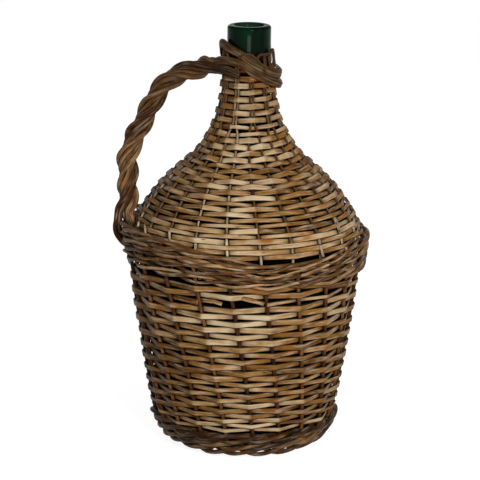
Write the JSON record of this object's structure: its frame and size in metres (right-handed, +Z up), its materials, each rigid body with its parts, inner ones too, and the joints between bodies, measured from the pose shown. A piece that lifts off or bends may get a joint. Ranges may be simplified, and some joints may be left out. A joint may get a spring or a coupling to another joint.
{
  "type": "wicker demijohn",
  "caption": "Dark glass bottle in a woven willow basket with a cover, a twisted rod handle and an open neck.",
  "frame": {"origin": "on the bottle's axis, at the surface that the foot stands on", "axes": "+Z up along the bottle's axis, the handle towards -X, the pictured front towards -Y"},
  "size_m": [0.2689, 0.2547, 0.44],
  "materials": {
    "bottle_glass": "very dark green, gloss",
    "stake_rod": "round willow rod, satin varnish",
    "split_willow": "split willow, satin varnish",
    "cover_skein": "pale willow skein, satin varnish",
    "foot_rod": "dark round willow rod, satin varnish",
    "rim_rod": "round willow rod, satin varnish",
    "handle_rod": "bundled willow rods, satin varnish"
  },
  "bodies": {
    "root": {"base_stick_1": "stake_rod", "base_stick_2": "stake_rod", "base_stick_3": "stake_rod", "base_stick_4": "stake_rod", "base_stick_5": "stake_rod", "base_stick_6": "stake_rod", "base_weaver": "split_willow", "cover_stake_pair_01": "cover_skein", "cover_stake_pair_02": "cover_skein", "cover_stake_pair_03": "cover_skein", "cover_stake_pair_04": "cover_skein", "cover_stake_pair_05": "cover_skein", "cover_stake_pair_06": "cover_skein", "cover_stake_pair_07": "cover_skein", "cover_stake_pair_08": "cover_skein", "cover_stake_pair_09": "cover_skein", "cover_stake_pair_10": "cover_skein", "cover_stake_pair_11": "cover_skein", "foot_rod_1": "foot_rod", "foot_rod_2": "foot_rod", "foot_rod_3": "foot_rod", "foot_rod_4": "foot_rod", "foot_rod_5": "foot_rod", "foot_rod_6": "foot_rod", "glass_bottle": "bottle_glass", "handle_strand_1": "handle_rod", "handle_strand_2": "handle_rod", "handle_strand_3": "handle_rod", "lower_stake_01": "stake_rod", "lower_stake_02": "stake_rod", "lower_stake_03": "stake_rod", "lower_stake_04": "stake_rod", "lower_stake_05": "stake_rod", "lower_stake_06": "stake_rod", "lower_stake_07": "stake_rod", "lower_stake_08": "stake_rod", "lower_stake_09": "stake_rod", "lower_stake_10": "stake_rod", "lower_stake_11": "stake_rod", "lower_stake_12": "stake_rod", "lower_stake_13": "stake_rod", "lower_stake_14": "stake_rod", "lower_stake_15": "stake_rod", "lower_stake_16": "stake_rod", "lower_stake_17": "stake_rod", "lower_stake_18": "stake_rod", "lower_stake_19": "stake_rod", "lower_stake_20": "stake_rod", "lower_stake_21": "stake_rod", "lower_weaver": "split_willow", "neck_ring": "stake_rod", "neck_weaver": "split_willow", "rim_rod_1": "rim_rod", "rim_rod_2": "rim_rod", "rim_rod_3": "rim_rod", "rim_rod_4": "rim_rod", "rim_rod_5": "rim_rod", "rim_rod_6": "rim_rod", "shoulder_weaver_a": "split_willow", "shoulder_weaver_b": "split_willow"}
  },
  "joints": []
}
